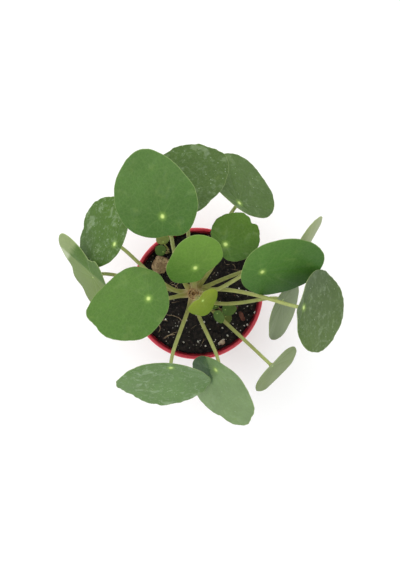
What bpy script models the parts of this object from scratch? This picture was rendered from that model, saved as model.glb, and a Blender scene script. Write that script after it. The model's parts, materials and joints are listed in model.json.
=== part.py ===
"""Potted Chinese money plant: a moulded nursery pot, its soil, a short stem with sixteen round
leaves on long stalks, two young plantlets and the loose bits that lie on the soil.

Metres, +Z up. The origin is the middle of the pot's underside.
"""

from collections import namedtuple
from math import atan2, cos, degrees, exp, pi, radians, sin

import bmesh
import bpy
from mathutils import Matrix, Vector

MM = 0.001

# Pot
RIM_DIAMETER = 0.120
POT_HEIGHT = 0.108
BASE_DIAMETER = 0.084
POT_WALL = 0.0013
FLOOR = 0.0020
COLLAR_HEIGHT = 0.013
COLLAR_STEP = 0.0022
LIP_WIDTH = 0.0030
LIP_HEIGHT = 0.0026
DRAIN_HOLES = 8
DRAIN_DIAMETER = 0.008
DRAIN_CIRCLE = 0.060

# Soil
SOIL_BELOW_RIM = 0.009
SOIL_BUMP = 0.0011
CLEARANCE = 0.0003

# Stem of the grown plant
STEM_PLACE = Vector((-0.003, 0.0005))
STEM_HEIGHT = 0.056
STEM_DIAMETER = 0.0110
STEM_TOP_DIAMETER = 0.0080
STEM_DEPTH = 0.016

# Leaves
BLADE_THICKNESS = 0.0010
STALK_DIAMETER = 0.0031
STALK_TIP_DIAMETER = 0.0025

POT_SIDES = 48
BLADE_SIDES = 24
STALK_SIDES = 8
STALK_STEPS = 8

# A leaf's blade meets its stalk at (x, y), height above the soil, all in millimetres. tip is the
# compass angle of the blade's tip before it leans; it then leans by lean degrees towards faces.
# inset is the share of the length that lies behind the stalk. dish and arch lift the margin along
# and across the blade, wave ripples it. foot is where the stalk leaves the stem, above the soil,
# swing turns it aside from the straight way to the blade, and rise is how steeply it sets off.
Leaf = namedtuple(
    "Leaf", "x y height tip faces lean length width inset dish arch wave foot swing rise"
)

LEAVES = [
    Leaf(-26, 60, 122, 112, 205, 24, 68, 70, 0.22, -3, -2, 0.6, 45, 22, 48),
    Leaf(-10, 79, 98, 80, 100, 24, 66, 64, 0.24, -3, -2, 0.8, 34, 0, 48),
    Leaf(35, 75, 78, 66, 42, 50, 61, 67, 0.12, 1, 0, 0.6, 24, 4, 40),
    Leaf(23, 40, 97, 42, 60, 18, 42, 41, 0.20, -2, -1, 0.8, 33, -6, 48),
    Leaf(-67, 41, 82, 140, 165, 43, 60, 62, 0.14, -2, -1, 0.8, 28, 32, 44),
    Leaf(-87, 14, 65, 196, 218, 62, 62, 70, 0.26, -2, 0, 0.6, 18, 4, 36),
    Leaf(-38, -3, 102, 196, 120, 18, 67, 63, 0.24, -3, -2, 0.6, 41, 4, 48),
    Leaf(-1, 21, 108, 95, 298, 38, 42, 49, 0.33, -2, -2, 0.4, 50, 0, 52),
    Leaf(5, -5, 84, -46, -46, 46, 25, 29, 0.26, 0, -2, 0.2, 53, -10, 60),
    Leaf(52, 18, 100, 6, 288, 44, 71, 57, 0.25, -3, -2, 0.6, 43, -22, 48),
    Leaf(84, -10, 106, -10, -5, 51, 65, 67, 0.10, 2, -1, 0.8, 36, 25, 44),
    Leaf(72.5, -5, 62, -55, -24, 62, 56, 50, 0.17, -2, 0, 0.6, 15, -33, 32),
    Leaf(84, 23, 66, 66, -27, 74, 58, 42, 0.22, 0, -4, 0.6, 26, 14, 36),
    Leaf(64, -61, 58, -42, -42, 64, 46, 50, 0.14, -1, 0, 0.5, 6, 0, 0),
    Leaf(-21, -60, 80, -103, -86, 54, 66, 76, 0.09, 1, -1, 0.8, 33, 0, 48),
    Leaf(16, -64, 60, -92, -146, 50, 66, 70, 0.13, -2, -2, 0.6, 23, -10, 36),
]

# Where a blade's margin leaves its oval: the direction from the stalk's end, in degrees from the
# tip, how far the change reaches to each side, and the growth there as a share of the radius.
MARGINS = {
    "leaf_01": ((-50, 24, -0.15), (-24, 14, -0.05), (4, 20, -0.03), (-110, 19, 0.12), (-144, 26, 0.32)),
    "leaf_02": ((-33, 14, 0.13), (-92, 28, -0.21)),
    "leaf_03": ((7, 26, 0.06),),
    "leaf_04": ((-123, 30, 0.15), (1, 12, -0.07)),
    "leaf_05": ((35, 18, 0.09),),
    "leaf_06": ((-100, 24, -0.42), (-62, 14, 0.24), (-18, 19, -0.30), (8, 12, -0.12),
                (22, 10, -0.14)),
    "leaf_07": ((-45, 26, -0.15), (0, 11, 0.04), (99, 29, -0.12), (48, 22, -0.07), (-133, 18, 0.11)),
    "leaf_08": ((56, 28, -0.15), (127, 20, 0.12), (-118, 36, -0.40)),
    "leaf_09": ((179, 27, -0.46), (-108, 19, 0.22), (19, 39, -0.22), (-55, 19, -0.10)),
    "leaf_10": ((-84, 20, 0.05), (156, 24, -0.04), (10, 20, -0.03)),
    "leaf_11": ((-165, 34, 0.38),),
    "leaf_15": ((-48, 12, 0.06), (-82, 16, -0.08), (60, 24, 0.04)),
    "leaf_16": ((-124, 18, 0.08), (19, 14, 0.04), (44, 10, -0.01), (72, 18, -0.07), (-147, 40, 0.28),
                (-95, 15, 0.10), (-4, 17, -0.11)),
}

# A plantlet: where it stands, its own height and thickness, and its leaves, given as above with
# every place measured from the plantlet's foot.
Plantlet = namedtuple("Plantlet", "x y height diameter leaves")

PLANTLETS = [
    Plantlet(21, -15, 12, 3.2, [
        Leaf(4.5, 0.5, 15, 5, 0, 18, 14, 12, 0.22, -0.5, -0.5, 0.2, 10.0, 0, 40),
        Leaf(5.0, -6.0, 11, -50, -50, 28, 10, 9, 0.22, -0.4, -0.4, 0.2, 5.0, 0, 40),
        Leaf(-3.0, -2.5, 26, -62, -80, 16, 13, 9, 0.22, -0.4, -0.4, 0.2, 9.0, 0, 75),
        Leaf(-4.0, 3.5, 16, 130, 130, 20, 10, 9, 0.22, -0.4, -0.4, 0.2, 6.5, 0, 40),
    ]),
    Plantlet(-26, 38, 14, 3.0, [
        Leaf(-4.0, 8.0, 26, 100, 95, 12, 11, 12, 0.22, -0.4, -0.4, 0.2, 12.6, -15, 74),
        Leaf(-4.8, -0.3, 12, 150, 170, 4, 10, 10, 0.22, -0.4, -0.4, 0.2, 6.0, 12, 50),
    ]),
]

# Loose bits on the soil: place and size in millimetres, turn in degrees, then the two colours' slot.
Bit = namedtuple("Bit", "name x y length width thick turn lumps slot")

BITS = [
    Bit("pumice_chunk", -33, 26, 17, 15, 10, 30, 0.14, "pumice"),
    Bit("pebble", 23, -45, 6, 5, 4, 20, 0.08, "pumice"),
    Bit("bark_chip_1", 41, -21, 11, 4.5, 2, -62, 0.10, "bark"),
    Bit("bark_chip_2", 35, -14, 7, 3.5, 1.8, 25, 0.10, "bark"),
]

SOIL_TOP = POT_HEIGHT - SOIL_BELOW_RIM


def clear_scene():
    for thing in list(bpy.data.objects):
        bpy.data.objects.remove(thing, do_unlink=True)


def material(name, color, roughness):
    made = bpy.data.materials.get(name) or bpy.data.materials.new(name)
    made.use_nodes = True
    shader = made.node_tree.nodes["Principled BSDF"]
    shader.inputs["Base Color"].default_value = (*color, 1.0)
    shader.inputs["Roughness"].default_value = roughness
    shader.inputs["Metallic"].default_value = 0.0
    return made


def pot_plastic():
    return material("pot_plastic", (0.50, 0.03, 0.06), 0.45)


def peat():
    return material("peat", (0.018, 0.014, 0.012), 0.95)


def stem_bark():
    return material("stem_bark", (0.22, 0.15, 0.07), 0.80)


def leaf_green():
    return material("leaf_green", (0.10, 0.24, 0.05), 0.40)


def young_green():
    return material("young_green", (0.14, 0.26, 0.06), 0.45)


def pumice():
    return material("pumice", (0.45, 0.36, 0.27), 0.95)


def bark():
    return material("bark", (0.20, 0.08, 0.05), 0.90)


SLOTS = {"pumice": pumice, "bark": bark}


def add_object(name, mesh, made_of):
    thing = bpy.data.objects.new(name, mesh)
    bpy.context.collection.objects.link(thing)
    thing.data.materials.append(made_of)
    return thing


def mesh_of(name, points, faces):
    mesh = bpy.data.meshes.new(name)
    mesh.from_pydata([tuple(point) for point in points], [], faces)
    skin = bmesh.new()
    skin.from_mesh(mesh)
    bmesh.ops.recalc_face_normals(skin, faces=skin.faces)
    skin.to_mesh(mesh)
    skin.free()
    return mesh


def rings_mesh(name, rings):
    """A closed skin over rings of points, each stitched to the next. The counts of two neighbours
    may differ by a whole factor, and a ring of one point is a pole."""
    points = [point for ring in rings for point in ring]
    starts = [sum(len(ring) for ring in rings[:i]) for i in range(len(rings))]
    faces = []
    for near, far in zip(range(len(rings) - 1), range(1, len(rings))):
        faces += stitched(starts[near], len(rings[near]), starts[far], len(rings[far]))
    for end in (0, -1):
        count = len(rings[end])
        if count > 1:
            faces.append(tuple(starts[end] + i for i in range(count)))
    return mesh_of(name, points, faces)


def stitched(near, near_count, far, far_count):
    faces = []
    count = max(near_count, far_count)
    for i in range(count):
        a, b = (near + k * near_count // count % near_count for k in (i, i + 1))
        c, d = (far + k * far_count // count % far_count for k in (i, i + 1))
        if a == b:
            faces.append((a, d, c))
        elif c == d:
            faces.append((a, b, c))
        else:
            faces.append((a, b, d, c))
    return faces


def circle(radius, z, sides=POT_SIDES):
    turns = (2 * pi * i / sides for i in range(sides))
    return [Vector((radius * cos(turn), radius * sin(turn), z)) for turn in turns]


def cylinder(name, x, y, bottom, top, radius, sides=24):
    rings = [circle(radius, z, sides) for z in (bottom, top)]
    for ring in rings:
        for point in ring:
            point += Vector((x, y, 0))
    thing = bpy.data.objects.new(name, rings_mesh(name, rings))
    bpy.context.collection.objects.link(thing)
    thing.hide_render = True
    thing.display_type = "WIRE"
    return thing


def cut(thing, cutter):
    modifier = thing.modifiers.new(cutter.name, "BOOLEAN")
    modifier.operation = "DIFFERENCE"
    modifier.solver = "EXACT"
    modifier.object = cutter


def body_radius(z):
    """Outside radius of the pot's tapered body at a height."""
    top = RIM_DIAMETER / 2 - COLLAR_STEP - LIP_WIDTH / 2
    return BASE_DIAMETER / 2 + (top - BASE_DIAMETER / 2) * z / POT_HEIGHT


def inner_radius(z):
    collar = POT_HEIGHT - COLLAR_HEIGHT
    step = COLLAR_STEP if z > collar + POT_WALL else 0.0
    return body_radius(z) + step - POT_WALL


def pot():
    rim = RIM_DIAMETER / 2
    collar = POT_HEIGHT - COLLAR_HEIGHT
    lip = POT_HEIGHT - LIP_HEIGHT
    outside = [
        (body_radius(0) - 0.0010, 0),
        (body_radius(0.0010), 0.0010),
        (body_radius(collar), collar),
        (body_radius(collar) + COLLAR_STEP, collar + 0.0006),
        (rim - LIP_WIDTH + POT_WALL, lip),
        (rim - 0.0004, lip),
        (rim, lip + 0.0005),
        (rim, POT_HEIGHT - 0.0008),
        (rim - 0.0008, POT_HEIGHT),
    ]
    inside = [
        (rim - LIP_WIDTH + 0.0005, POT_HEIGHT),
        (rim - LIP_WIDTH, POT_HEIGHT - 0.0005),
        (inner_radius(collar + 2 * POT_WALL), collar + 2 * POT_WALL),
        (inner_radius(collar), collar + POT_WALL),
        (inner_radius(FLOOR), FLOOR),
    ]
    rings = [circle(radius, z) for radius, z in outside + inside]
    thing = add_object("pot", rings_mesh("pot", rings), pot_plastic())
    for i in range(DRAIN_HOLES):
        turn = 2 * pi * (i + 0.5) / DRAIN_HOLES
        place = Vector((cos(turn), sin(turn))) * DRAIN_CIRCLE / 2
        hole = cylinder(f"drain_{i}", *place, -0.01, FLOOR + 0.01, DRAIN_DIAMETER / 2)
        cut(thing, hole)
    return thing


def soil_height(x, y):
    """Soil surface: gently lumpy, level where the stem stands."""
    away = min(1.0, (Vector((x, y)) - STEM_PLACE).length / 0.02)
    lump = sin(210 * x + 1.0) * cos(170 * y) + 0.6 * sin(390 * y + 240 * x)
    return SOIL_TOP + SOIL_BUMP * away * lump / 1.6


def soil():
    collar = POT_HEIGHT - COLLAR_HEIGHT
    shelf = collar + 2 * POT_WALL
    side = [
        (inner_radius(FLOOR) - CLEARANCE, FLOOR + CLEARANCE),
        (inner_radius(collar) - CLEARANCE, collar + POT_WALL + CLEARANCE),
        (inner_radius(shelf) - CLEARANCE, shelf + CLEARANCE),
    ]
    rings = [circle(radius, z) for radius, z in side]
    edge = inner_radius(SOIL_TOP - SOIL_BUMP) - CLEARANCE
    for share in (1.0, 0.85, 0.68, 0.5, 0.32, 0.15):
        ring = circle(edge * share, 0)
        for point in ring:
            point.z = soil_height(point.x, point.y)
        rings.append(ring)
    rings.append([Vector((0, 0, soil_height(0, 0)))])
    thing = add_object("soil", rings_mesh("soil", rings), peat())
    well = STEM_DIAMETER / 2 + CLEARANCE
    low = SOIL_TOP - STEM_DEPTH - CLEARANCE
    cut(thing, cylinder("stem_well", *STEM_PLACE, low, SOIL_TOP + 0.01, well))
    for number, young in enumerate(PLANTLETS, 1):
        foot = Vector((young.x, young.y)) * MM
        well = young.diameter / 2 * MM + CLEARANCE
        low = SOIL_TOP - young_depth(young) - CLEARANCE
        cut(thing, cylinder(f"well_{number}", *foot, low, SOIL_TOP + 0.01, well, 16))
    return thing


def stem():
    """The woody stem: ringed by old leaf scars, ending in the bud in its scales."""
    rings = [[Vector((0, 0, -STEM_DEPTH))]]
    low = STEM_DIAMETER / 2
    high = STEM_TOP_DIAMETER / 2
    profile = [(low - 0.0008, -STEM_DEPTH), (low, -STEM_DEPTH + 0.001), (low, 0.002)]
    bands = 6
    for band in range(bands):
        share = (band + 0.5) / bands
        radius = low + (high - low) * share
        z = 0.002 + (STEM_HEIGHT - 0.008) * share
        profile += [(radius - 0.0003, z - 0.0014), (radius, z), (radius - 0.0003, z + 0.0014)]
    top = STEM_HEIGHT
    profile += [(high - 0.0004, top - 0.004), (high * 0.80, top - 0.0015), (high * 0.42, top)]
    rings += [circle(radius, z, 24) for radius, z in profile]
    rings.append([Vector((0, 0, top + 0.0004))])
    thing = add_object("stem", rings_mesh("stem", rings), stem_bark())
    thing.location = (*STEM_PLACE, SOIL_TOP)
    return thing


def stem_radius(height):
    share = min(1.0, max(0.0, height / (STEM_HEIGHT - 0.008)))
    return (STEM_DIAMETER + (STEM_TOP_DIAMETER - STEM_DIAMETER) * share) / 2


def blade_matrix(leaf):
    lean_axis = Vector((-sin(radians(leaf.faces)), cos(radians(leaf.faces)), 0))
    lean = Matrix.Rotation(radians(leaf.lean), 3, lean_axis)
    return lean @ Matrix.Rotation(radians(leaf.tip), 3, "Z")


def blade_outline(leaf, turn, margin):
    """Margin of the flat blade, from the stalk's end: nearly round, widest behind the middle,
    with a faint point at the tip."""
    length, width = leaf.length * MM, leaf.width * MM
    ahead = length * (0.5 * cos(turn) + 0.5 - leaf.inset)
    aside = width * 0.5 * sin(turn) * (1 - 0.07 * cos(turn))
    ahead += 0.02 * length * max(0.0, cos(turn)) ** 12
    way = degrees(atan2(aside, ahead))
    growth = 1.0
    for toward, spread, share in margin:
        off = (way - toward + 180) % 360 - 180
        growth += share * exp(-((off / spread) ** 2))
    return ahead * growth, aside * growth


def blade_ring(leaf, share, number, margin, drop=0.0, ring_radius=None):
    """One ring of the blade, at a share of the way from the stalk to the margin."""
    ring = []
    for i in range(BLADE_SIDES):
        turn = 2 * pi * i / BLADE_SIDES
        ahead, aside = (part * share for part in blade_outline(leaf, turn, margin))
        if ring_radius is not None:
            ahead, aside = ring_radius * cos(turn), ring_radius * sin(turn)
            share = 0.0
        lift = leaf.dish * MM * (2000 * ahead / leaf.length) ** 2 / 2.2
        lift += leaf.arch * MM * (2000 * aside / leaf.width) ** 2
        lift += leaf.wave * MM * share ** 3 * sin(3 * turn + 1.7 * number)
        ring.append(Vector((ahead, aside, lift - drop)))
    return ring


def stalk_path(foot, leave, end, arrive):
    """A bent stalk: leaves the stem rising, arrives square to the underside of the blade."""
    reach = (end - foot).length
    near = foot + leave * reach * 0.36
    far = end - arrive * reach * 0.17
    path = []
    for i in range(STALK_STEPS + 1):
        t = i / STALK_STEPS
        s = 1 - t
        path.append(foot * s**3 + near * 3 * s * s * t + far * 3 * s * t * t + end * t**3)
    return path


def stalk_rings(path, first_way, last_way, side, radii):
    """Rings square to the path. side points where each ring starts, so that it doesn't twist."""
    rings = []
    for i, middle in enumerate(path):
        if i == 0:
            way = first_way
        elif i == len(path) - 1:
            way = last_way
        else:
            way = (path[i + 1] - path[i - 1]).normalized()
        across = (side - way * side.dot(way)).normalized()
        up = way.cross(across)
        radius = radii[0] + (radii[1] - radii[0]) * i / (len(path) - 1)
        turns = [2 * pi * k / STALK_SIDES for k in range(STALK_SIDES)]
        rings.append([middle + (across * cos(a) + up * sin(a)) * radius for a in turns])
    return rings


def leaf_object(name, leaf, number, base, thickness, radii, made_of, foot_radius):
    """Stalk and blade in one skin: foot, stalk, underside, margin, upper side."""
    turned = blade_matrix(leaf)
    place = base + Vector((leaf.x, leaf.y, leaf.height)) * MM
    normal = turned @ Vector((0, 0, 1))
    side = turned @ Vector((1, 0, 0))
    outward = Vector((leaf.x, leaf.y, 0)).normalized()
    outward.rotate(Matrix.Rotation(radians(leaf.swing), 3, "Z"))
    foot = base + outward * foot_radius + Vector((0, 0, leaf.foot * MM))
    rise = radians(leaf.rise)
    leave = (outward * cos(rise) + Vector((0, 0, sin(rise)))).normalized()
    end = place - normal * (thickness + radii[1] * 0.8)
    path = stalk_path(foot, leave, end, normal)
    rings = stalk_rings(path, outward, normal, side, radii)
    collar = radii[1] * 1.35
    margin = MARGINS.get(name, ())
    under = [
        blade_ring(leaf, 0, number, margin, thickness, collar),
        blade_ring(leaf, 0.55, number, margin, thickness * 0.9),
        blade_ring(leaf, 0.985, number, margin, thickness * 0.7),
    ]
    over = [
        blade_ring(leaf, 1.0, number, margin),
        blade_ring(leaf, 0.7, number, margin),
        blade_ring(leaf, 0.36, number, margin),
        [Vector((0, 0, 0))],
    ]
    rings += [[place + turned @ point for point in ring] for ring in under + over]
    return add_object(name, rings_mesh(name, rings), made_of)


def leaves():
    base = Vector((*STEM_PLACE, SOIL_TOP))
    shift = Vector((*STEM_PLACE, 0)) / MM
    radii = (STALK_DIAMETER / 2, STALK_TIP_DIAMETER / 2)
    for number, leaf in enumerate(LEAVES, 1):
        leaf = leaf._replace(x=leaf.x - shift.x, y=leaf.y - shift.y)
        foot_radius = stem_radius(leaf.foot * MM) + CLEARANCE
        leaf_object(f"leaf_{number:02d}", leaf, number, base, BLADE_THICKNESS, radii,
                    leaf_green(), foot_radius)


def young_depth(young):
    return young.height * MM * 0.6


def plantlet(number, young):
    """A young plant beside the stem: a short soft stem and its own little leaves."""
    base = Vector((young.x * MM, young.y * MM, SOIL_TOP))
    radius = young.diameter / 2 * MM
    top = young.height * MM
    low = -young_depth(young)
    profile = [(radius, low), (radius * 0.95, top * 0.5), (radius * 0.75, top - 0.0008)]
    rings = [circle(ring_radius, z, 16) for ring_radius, z in profile]
    rings.append([Vector((0, 0, top))])
    thing = add_object(f"plantlet_{number}_stem", rings_mesh("plantlet", rings), young_green())
    thing.location = base
    for order, leaf in enumerate(young.leaves, 1):
        leaf_object(f"plantlet_{number}_leaf_{order}", leaf, order, base, 0.0006,
                    (0.0007, 0.0006), young_green(), radius + CLEARANCE)


def bit(row):
    """A lump of grit or bark, squashed from a ball and lying on the soil."""
    skin = bmesh.new()
    bmesh.ops.create_icosphere(skin, subdivisions=3 if row.length > 12 else 2, radius=0.5)
    for corner in skin.verts:
        x, y, z = corner.co * 2
        bulge = sin(3.1 * x + row.x) * cos(2.7 * y + row.y) + 0.5 * sin(5.3 * z + 4.1 * x)
        corner.co *= 1 + row.lumps * bulge
        corner.co.x *= row.length * MM
        corner.co.y *= row.width * MM
        corner.co.z *= row.thick * MM
    mesh = bpy.data.meshes.new(row.name)
    skin.to_mesh(mesh)
    skin.free()
    thing = add_object(row.name, mesh, SLOTS[row.slot]())
    spread = Matrix.Rotation(radians(row.turn), 3, "Z")
    place = Vector((row.x * MM, row.y * MM))
    rest = 0.0
    for corner in mesh.vertices:
        spot = spread @ corner.co
        if spot.z < 0:
            under = soil_height(place.x + spot.x, place.y + spot.y) - SOIL_TOP
            rest = max(rest, under - spot.z)
    thing.location = (*place, SOIL_TOP + rest + CLEARANCE)
    thing.rotation_euler.z = radians(row.turn)
    return thing


def main():
    clear_scene()
    pot()
    soil()
    stem()
    leaves()
    for number, young in enumerate(PLANTLETS, 1):
        plantlet(number, young)
    for row in BITS:
        bit(row)


main()
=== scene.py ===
"""Looks of a potted Chinese money plant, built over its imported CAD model."""

import json
from collections import namedtuple
from contextlib import contextmanager
from math import atan2, cos, hypot, pi, radians, sin, sqrt, tau
from random import Random

import bmesh
import bpy
import numpy as np
from mathutils import Matrix, Vector, noise
from mathutils.bvhtree import BVHTree

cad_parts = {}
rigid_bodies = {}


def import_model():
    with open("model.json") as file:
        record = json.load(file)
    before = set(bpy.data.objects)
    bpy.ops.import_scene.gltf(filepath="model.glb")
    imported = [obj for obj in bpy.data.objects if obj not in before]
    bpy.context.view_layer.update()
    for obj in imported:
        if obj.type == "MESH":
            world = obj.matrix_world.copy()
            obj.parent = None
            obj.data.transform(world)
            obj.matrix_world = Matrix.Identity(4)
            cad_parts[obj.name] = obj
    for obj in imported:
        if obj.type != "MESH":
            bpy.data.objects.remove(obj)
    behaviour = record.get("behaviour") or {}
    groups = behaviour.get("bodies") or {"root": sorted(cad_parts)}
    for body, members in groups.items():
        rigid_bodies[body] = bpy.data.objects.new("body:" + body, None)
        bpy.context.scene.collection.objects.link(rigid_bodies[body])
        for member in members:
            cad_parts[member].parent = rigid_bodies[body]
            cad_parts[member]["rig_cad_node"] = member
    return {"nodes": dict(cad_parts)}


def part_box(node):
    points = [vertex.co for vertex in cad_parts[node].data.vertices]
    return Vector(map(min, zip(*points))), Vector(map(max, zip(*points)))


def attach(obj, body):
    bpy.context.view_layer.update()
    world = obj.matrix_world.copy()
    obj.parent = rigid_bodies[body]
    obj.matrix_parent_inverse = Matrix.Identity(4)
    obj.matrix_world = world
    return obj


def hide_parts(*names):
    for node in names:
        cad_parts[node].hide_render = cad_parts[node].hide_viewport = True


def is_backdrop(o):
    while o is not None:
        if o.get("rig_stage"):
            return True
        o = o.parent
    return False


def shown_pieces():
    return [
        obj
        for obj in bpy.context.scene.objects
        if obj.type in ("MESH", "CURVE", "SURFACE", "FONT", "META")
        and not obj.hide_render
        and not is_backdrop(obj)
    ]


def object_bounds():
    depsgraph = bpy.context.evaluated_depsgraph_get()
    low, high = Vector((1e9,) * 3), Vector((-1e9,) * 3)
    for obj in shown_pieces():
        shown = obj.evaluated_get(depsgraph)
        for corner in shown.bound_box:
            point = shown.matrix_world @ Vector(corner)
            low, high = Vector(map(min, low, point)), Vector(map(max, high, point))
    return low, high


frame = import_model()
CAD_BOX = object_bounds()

MM = 0.001
BOX_MARGIN = 0.01 * MM
ROOT = "root"

# -------- camera and light
CAMERA_X, CAMERA_Y, CAMERA_ABOVE_RIM = 0.0027, 0.0077, 0.70
VIEW_WIDTH_AT_RIM = 0.3636
SENSOR = 36.0
SKY_STRENGTH = 0.96
LAMP_SIZE, LAMP_AIM_HEIGHT = 2.4, 0.12
LAMPS = {"key": ((-0.9, 1.1, 1.7), 22.0), "fill": ((1.2, -0.8, 1.8), 6.0)}
FLOOR_HALF = 3.0

# -------- pot, as in the CAD model
BASE_RADIUS, POT_WALL, FLOOR = 0.042, 0.0013, 0.0020
COLLAR_HEIGHT, COLLAR_STEP = 0.013, 0.0022
LIP_WIDTH, LIP_HEIGHT = 0.0030, 0.0026
FOOT_RECESS, FOOT_RING = 0.0008, 0.0034
DRAIN_HOLES, DRAIN_RADIUS, DRAIN_CIRCLE = 8, 0.004, 0.030
POT_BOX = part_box("pot")
POT_TOP, POT_RIM = POT_BOX[1].z, POT_BOX[1].x
BODY_TOP_RADIUS = POT_RIM - COLLAR_STEP - LIP_WIDTH / 2
WALL_SLOPE = (BODY_TOP_RADIUS - BASE_RADIUS) / POT_TOP
COLLAR_FOOT, LIP_FOOT = POT_TOP - COLLAR_HEIGHT, POT_TOP - LIP_HEIGHT

# -------- soil
SOIL_GAP = 0.0003
SOIL_EDGE_DROP, SOIL_SKIRT = 0.0006, 0.0113
SOIL_SIDES, SOIL_ROWS = 340, 92
FIBRE_REACH = 0.052
RIM_CRUMB_X, RIM_CRUMB_Y = 0.0150, 0.0606

# -------- leaves
SECTORS = 132
RING_SHARES = (0.0, 0.36, 0.7, 1.0)
# Waves of a blade: how many go round it, and how high they are, as a share of the radius for the
# scallops of its margin and in millimetres for the ripples of its face.
SCALLOPS = ((4, 0.004), (7, 0.004), (11, 0.004), (17, 0.004), (26, 0.003), (37, 0.0025))
RIPPLES = ((2, 0.30), (3, 0.34), (5, 0.30), (8, 0.14), (13, 0.07))
BLADE_THICK, MARGIN_THICK = 0.95 * MM, 0.55 * MM
YOUNG_THICKNESS, YOUNG_SPOT = 0.6, 4.0
GROWN_SIZE = 33 * MM


# Colours are written as seen on a screen, 0 to 255, and turned into linear light.
def tint(red, green, blue, gain=1.0):
    def linear(level):
        level /= 255
        return level / 12.92 if level <= 0.04045 else ((level + 0.055) / 1.055) ** 2.4
    return np.array([linear(red), linear(green), linear(blue)]) * gain


# A leaf's upper side goes from its near colour to its far colour, towards a compass direction.
# These colours hold painted light as well as the leaf's own green: a side darker or paler than the rest
# is painted shade or painted sheen. The dark far side of leaf 10 is a painted shadow of leaf 11, and the
# pale grey-greens of leaves 6, 12, 14 and 16 are painted sheen.
# Dust is how much lime and dried water marks it, scallop how strongly its margin is scalloped.
Look = namedtuple("Look", "near far toward dust scallop")
LOOKS = {
    1: ((73, 106, 47), (57, 94, 32), -70, 0.10, 0.5),
    2: ((61, 89, 30), (69, 93, 43), 0, 0.60, 1.6),
    3: ((70, 97, 38), (67, 94, 38), -60, 0.35, 0.8),
    4: ((71, 104, 28), (58, 91, 30), -90, 0.15, 1.4),
    5: ((67, 99, 28), (63, 92, 36), -100, 0.85, 1.7),
    6: ((108, 130, 67), (96, 117, 48), -90, 0.10, 0.8),
    7: ((76, 111, 41), (69, 106, 37), -60, 0.08, 0.7),
    8: ((96, 133, 49), (60, 100, 20), -110, 0.0, 0.5),
    9: ((136, 152, 47), (106, 130, 26), -60, 0.0, 0.4),
    10: ((82, 121, 51), (43, 87, 19), -60, 0.05, 0.4),
    11: ((65, 84, 49), (77, 100, 47), -60, 0.60, 1.3),
    12: ((112, 128, 87), (112, 127, 84), -60, 0.20, 0.6),
    13: ((106, 124, 60), (146, 156, 112), 0, 0.10, 0.6),
    14: ((110, 127, 74), (109, 124, 74), -60, 0.20, 0.6),
    15: ((84, 114, 64), (93, 125, 68), -110, 1.0, 1.8),
    16: ((103, 131, 83), (112, 136, 90), -60, 0.30, 1.3),
}
LOOKS = {number: Look(*row) for number, row in LOOKS.items()}
YOUNG_LOOK = Look((76, 104, 48), (84, 110, 50), 0, 0.0, 0.5)
YOUNG_LOOKS = {
    "plantlet_2_leaf_1": Look((128, 134, 70), (110, 124, 60), 0, 0.0, 0.5),
    "plantlet_1_leaf_2": Look((104, 116, 54), (96, 110, 50), 0, 0.0, 0.5),
}

# The pale spot over the stalk is smaller on these than on a grown leaf, by this factor.
SMALLER_SPOT = {"leaf_06": 3.0, "leaf_09": 1.9, "leaf_12": 2.2, "leaf_13": 2.2, "leaf_14": 2.2}

# Notches and teeth of a margin: compass direction, how wide, growth as a share of the radius.
NICKS = {
    "leaf_01": ((-52, 16, 0.05), (110, 50, 0.03), (180, 30, 0.02)),
    "leaf_04": ((40, 5, -0.06), (31, 4, 0.03), (170, 50, -0.05), (-20, 50, -0.03)),
    "leaf_05": ((150, 7, -0.05), (-115, 5, -0.03)),
    "leaf_06": ((97, 7, -0.12),),
    "leaf_07": ((145, 24, 0.04), (193, 5, 0.02), (206, 12, -0.07)),
    "leaf_08": ((20, 10, 0.06), (-20, 16, 0.05)),
    "leaf_09": ((126, 28, 0.50),),
    "leaf_11": ((185, 34, 0.42),),
    "leaf_16": ((-47, 6, 0.03), (-66, 7, 0.03), (-84, 6, -0.03)),
}

# A leaf folded along a line, its ends as x and y in millimetres: how steeply the blade bends down
# past it, the colour past it, and the colours of a pale tip before and past it. These colours are painted
# light: the colour past the line is a painted shadow of leaf_15 on leaf_16 and painted shade on leaf_06,
# and the pale tip is painted sheen. A fold without a pale tip fades in from the start of its line.
Fold = namedtuple("Fold", "start end slope past tip_before tip_past")
FOLDS = {
    "leaf_06": Fold((-106.8, 32.8), (-80.9, 11.9), 0.5, (76, 106, 44), (176, 188, 150), (132, 148, 98)),
    "leaf_16": Fold((14.8, -77.0), (7.6, -52.0), 0.25, (36, 80, 24), None, None),
}

# A grown leaf's stalk is drawn this much fuller than the CAD one.
STALK_FULLER = 1.18
STALK_FOOT, STALK_MID, STALK_END = (204, 182, 138), (150, 153, 84), (166, 178, 106)


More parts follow.
